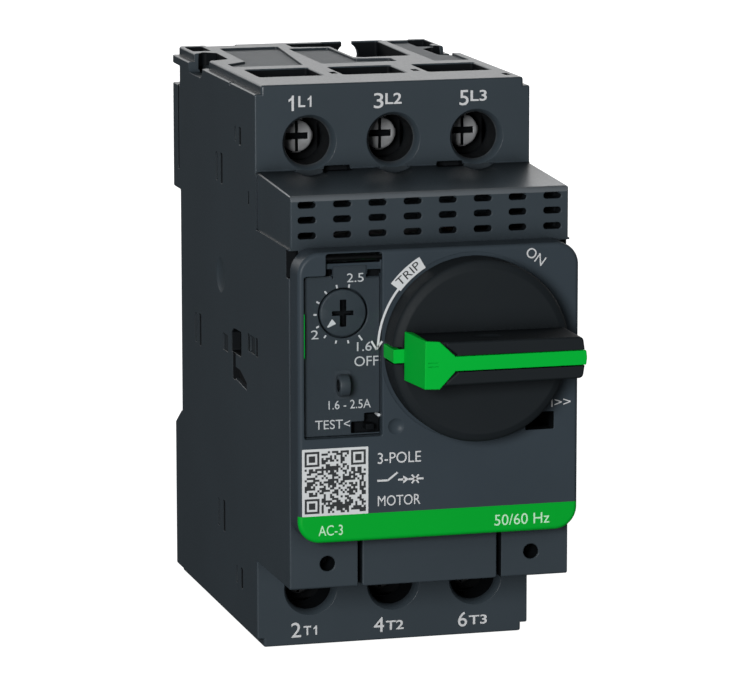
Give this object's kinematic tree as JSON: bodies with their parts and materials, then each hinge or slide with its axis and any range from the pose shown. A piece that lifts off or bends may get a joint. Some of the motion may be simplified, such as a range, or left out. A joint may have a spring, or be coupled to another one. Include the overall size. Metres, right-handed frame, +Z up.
{
  "type": "motor protection breaker",
  "caption": "Rotary-knob motor protection breaker for a 35 mm rail: screw terminals top and bottom, setting dial under a clear flap, test slider, padlockable knob.",
  "frame": {"origin": "on the rail seat, the floor of the rail groove in the back, at mid height and mid width of the housing; the rail centre line is 2.5 mm above it", "axes": "+Z up along the height, +Y out of the back towards the rail, -Y the front with the knob, +X to the right seen from the front"},
  "size_m": [0.0444, 0.097, 0.089],
  "materials": {
    "housing": "satin moulded thermoplastic, fine texture",
    "cover": "satin moulded thermoplastic",
    "scale": "satin printed scale plate",
    "clear": "clear polycarbonate",
    "dial": "satin moulded plastic",
    "knob": "satin black plastic",
    "green": "satin green plastic",
    "steel": "zinc plated steel",
    "copper": "bare copper alloy",
    "bimetal": "rolled bimetal strip",
    "insulator": "vulcanised fibre and steel plates",
    "carrier": "moulded engineering plastic",
    "latch": "moulded plastic"
  },
  "bodies": {
    "housing": {"arc_chute_1": "insulator", "arc_chute_2": "insulator", "arc_chute_3": "insulator", "aux_port_cover": "housing", "base_plate": "housing", "bearing_plate": "steel", "bimetal_1": "bimetal", "bimetal_2": "bimetal", "bimetal_3": "bimetal", "flap_pin": "steel", "front_cover": "cover", "housing": "housing", "housing_screw_1": "steel", "housing_screw_2": "steel", "latch_spring": "steel", "line_contact_1": "copper", "line_contact_2": "copper", "line_contact_3": "copper", "load_contact_1": "copper", "load_contact_2": "copper", "load_contact_3": "copper", "load_terminal_1": "copper", "load_terminal_2": "copper", "load_terminal_3": "copper", "mechanism_frame": "steel", "opening_spring_1": "steel", "opening_spring_2": "steel", "scale_plate": "scale", "trip_coil_1": "copper", "trip_coil_2": "copper", "trip_coil_3": "copper"},
    "knob": {"knob": "knob", "knob_pointer": "green", "drive_shaft": "steel"},
    "padlock_slide": {"padlock_slide": "green"},
    "dial_cover": {"dial_cover": "clear"},
    "setting_dial": {"setting_dial": "dial"},
    "test_slider": {"test_slider": "dial"},
    "contact_carrier": {"contact_carrier": "carrier", "moving_bridge_1": "copper", "moving_bridge_2": "copper", "moving_bridge_3": "copper"},
    "trip_slider": {"trip_slider": "carrier"},
    "trip_bar": {"trip_bar": "carrier"},
    "din_latch": {"din_latch": "latch"},
    "trip_plunger_1": {"trip_plunger_1": "steel"},
    "line_clamp_1": {"line_clamp_1": "steel"},
    "line_screw_1": {"line_screw_1": "steel"},
    "load_clamp_1": {"load_clamp_1": "steel"},
    "load_screw_1": {"load_screw_1": "steel"},
    "trip_plunger_2": {"trip_plunger_2": "steel"},
    "line_clamp_2": {"line_clamp_2": "steel"},
    "line_screw_2": {"line_screw_2": "steel"},
    "load_clamp_2": {"load_clamp_2": "steel"},
    "load_screw_2": {"load_screw_2": "steel"},
    "trip_plunger_3": {"trip_plunger_3": "steel"},
    "line_clamp_3": {"line_clamp_3": "steel"},
    "line_screw_3": {"line_screw_3": "steel"},
    "load_clamp_3": {"load_clamp_3": "steel"},
    "load_screw_3": {"load_screw_3": "steel"}
  },
  "joints": [
    {"name": "knob_turn", "type": "hinge", "parent": "housing", "child": "knob", "pos_m": [0.005, -0.0834, 0.0071], "axis": [0, 1, 0], "range_deg": [0, 90]},
    {"name": "padlock_slide_pull", "type": "slide", "parent": "knob", "child": "padlock_slide", "axis": [-1, 0, 0], "range_m": [0, 0.008]},
    {"name": "contact_travel", "type": "slide", "parent": "housing", "child": "contact_carrier", "axis": [0, -1, 0], "range_m": [0, 0.0024], "deforming": ["opening_spring_1", "opening_spring_2"]},
    {"name": "dial_cover_open", "type": "hinge", "parent": "housing", "child": "dial_cover", "pos_m": [-0.013, -0.0767, 0.0212], "axis": [-1, 0, 0], "range_deg": [0, 110]},
    {"name": "setting_turn", "type": "hinge", "parent": "housing", "child": "setting_dial", "pos_m": [-0.01482, -0.075, 0.01279], "axis": [0, 1, 0], "range_deg": [-83, 133]},
    {"name": "test_push", "type": "slide", "parent": "housing", "child": "test_slider", "axis": [-1, 0, 0], "range_m": [0, 0.002], "stiffness_N_per_m": 150},
    {"name": "overload_slide", "type": "slide", "parent": "housing", "child": "trip_slider", "axis": [1, 0, 0], "range_m": [0, 0.0015], "stiffness_N_per_m": 100},
    {"name": "trip_bar_turn", "type": "hinge", "parent": "housing", "child": "trip_bar", "pos_m": [0, -0.046, -0.005], "axis": [1, 0, 0], "range_deg": [0, 8], "stiffness_Nm_per_rad": 0.02},
    {"name": "rail_latch_pull", "type": "slide", "parent": "housing", "child": "din_latch", "axis": [0, 0, -1], "range_m": [0, 0.0035], "stiffness_N_per_m": 1500, "springref_m": -0.001, "deforming": ["latch_spring"]},
    {"name": "plunger_1_lift", "type": "slide", "parent": "housing", "child": "trip_plunger_1", "axis": [0, 0, 1], "range_m": [0, 0.0018], "stiffness_N_per_m": 200},
    {"name": "plunger_2_lift", "type": "slide", "parent": "housing", "child": "trip_plunger_2", "axis": [0, 0, 1], "range_m": [0, 0.0018], "stiffness_N_per_m": 200},
    {"name": "plunger_3_lift", "type": "slide", "parent": "housing", "child": "trip_plunger_3", "axis": [0, 0, 1], "range_m": [0, 0.0018], "stiffness_N_per_m": 200},
    {"name": "line_clamp_1_close", "type": "slide", "parent": "housing", "child": "line_clamp_1", "axis": [0, 1, 0], "range_m": [0, 0.0035]},
    {"name": "line_screw_1_turn", "type": "hinge", "parent": "line_clamp_1", "child": "line_screw_1", "pos_m": [-0.0135, -0.042, 0.0354], "axis": [0, 1, 0], "range_deg": [0, 1800]},
    {"name": "line_clamp_2_close", "type": "slide", "parent": "housing", "child": "line_clamp_2", "axis": [0, 1, 0], "range_m": [0, 0.0035]},
    {"name": "line_screw_2_turn", "type": "hinge", "parent": "line_clamp_2", "child": "line_screw_2", "pos_m": [0, -0.042, 0.0354], "axis": [0, 1, 0], "range_deg": [0, 1800]},
    {"name": "line_clamp_3_close", "type": "slide", "parent": "housing", "child": "line_clamp_3", "axis": [0, 1, 0], "range_m": [0, 0.0035]},
    {"name": "line_screw_3_turn", "type": "hinge", "parent": "line_clamp_3", "child": "line_screw_3", "pos_m": [0.0135, -0.042, 0.0354], "axis": [0, 1, 0], "range_deg": [0, 1800]},
    {"name": "load_clamp_1_close", "type": "slide", "parent": "housing", "child": "load_clamp_1", "axis": [0, 1, 0], "range_m": [0, 0.0035]},
    {"name": "load_screw_1_turn", "type": "hinge", "parent": "load_clamp_1", "child": "load_screw_1", "pos_m": [-0.0135, -0.042, -0.0354], "axis": [0, 1, 0], "range_deg": [0, 1800]},
    {"name": "load_clamp_2_close", "type": "slide", "parent": "housing", "child": "load_clamp_2", "axis": [0, 1, 0], "range_m": [0, 0.0035]},
    {"name": "load_screw_2_turn", "type": "hinge", "parent": "load_clamp_2", "child": "load_screw_2", "pos_m": [0, -0.042, -0.0354], "axis": [0, 1, 0], "range_deg": [0, 1800]},
    {"name": "load_clamp_3_close", "type": "slide", "parent": "housing", "child": "load_clamp_3", "axis": [0, 1, 0], "range_m": [0, 0.0035]},
    {"name": "load_screw_3_turn", "type": "hinge", "parent": "load_clamp_3", "child": "load_screw_3", "pos_m": [0.0135, -0.042, -0.0354], "axis": [0, 1, 0], "range_deg": [0, 1800]}
  ],
  "couplings": [
    {"joint": "knob_turn", "follows": "contact_travel", "rad_per_m": 654.4},
    {"joint": "line_screw_1_turn", "follows": "line_clamp_1_close", "rad_per_m": 8975.9},
    {"joint": "line_screw_2_turn", "follows": "line_clamp_2_close", "rad_per_m": 8975.9},
    {"joint": "line_screw_3_turn", "follows": "line_clamp_3_close", "rad_per_m": 8975.9},
    {"joint": "load_screw_1_turn", "follows": "load_clamp_1_close", "rad_per_m": 8975.9},
    {"joint": "load_screw_2_turn", "follows": "load_clamp_2_close", "rad_per_m": 8975.9},
    {"joint": "load_screw_3_turn", "follows": "load_clamp_3_close", "rad_per_m": 8975.9}
  ]
}
